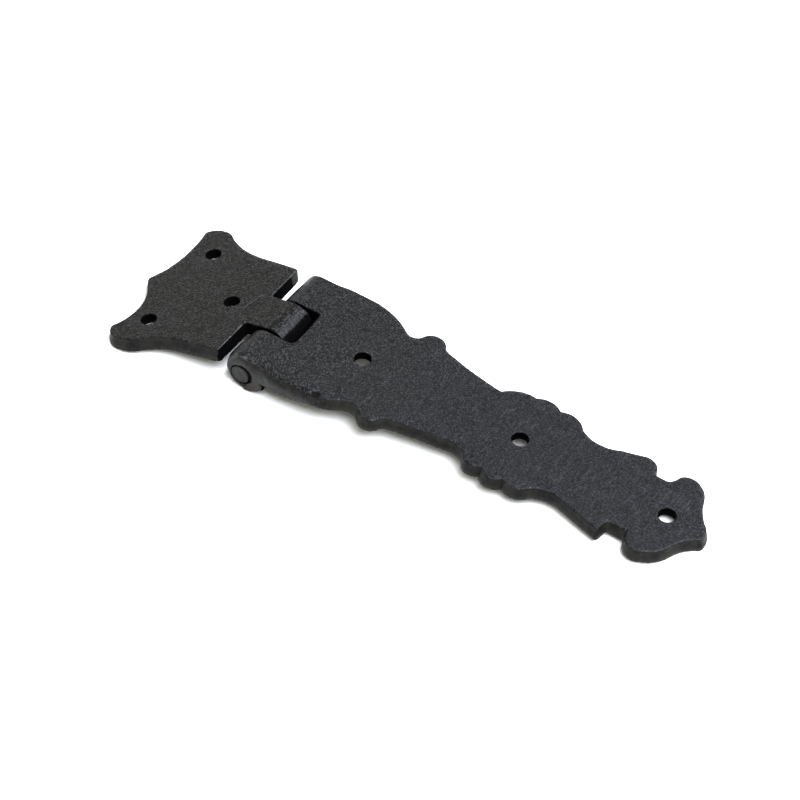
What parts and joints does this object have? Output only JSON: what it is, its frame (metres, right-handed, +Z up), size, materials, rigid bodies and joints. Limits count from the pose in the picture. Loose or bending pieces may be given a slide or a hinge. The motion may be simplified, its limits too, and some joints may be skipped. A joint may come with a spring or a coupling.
{
  "type": "strap hinge",
  "caption": "Ornamental strap hinge in blackened forged iron: long scalloped strap leaf, short horned frame leaf and plain pin.",
  "frame": {"origin": "on the surface that the hinge lies on, under the middle of its bounding box", "axes": "+X along the strap leaf towards its tip, +Y along the pin, +Z up out of the leaves' flat backs"},
  "size_m": [0.1872, 0.0532, 0.0124],
  "materials": {
    "black_iron": "matt black wax finish over grained forged iron",
    "pin_iron": "matt black over a cut and hammered pin end"
  },
  "bodies": {
    "frame_leaf": {"frame_leaf": "black_iron"},
    "strap_leaf": {"strap_leaf": "black_iron", "hinge_pin": "pin_iron"}
  },
  "joints": [
    {"name": "leaf_hinge", "type": "hinge", "parent": "frame_leaf", "child": "strap_leaf", "pos_m": [-0.04596, 0.00002, 0.0062], "axis": [0, -1, 0], "range_deg": [-165, 112]}
  ]
}
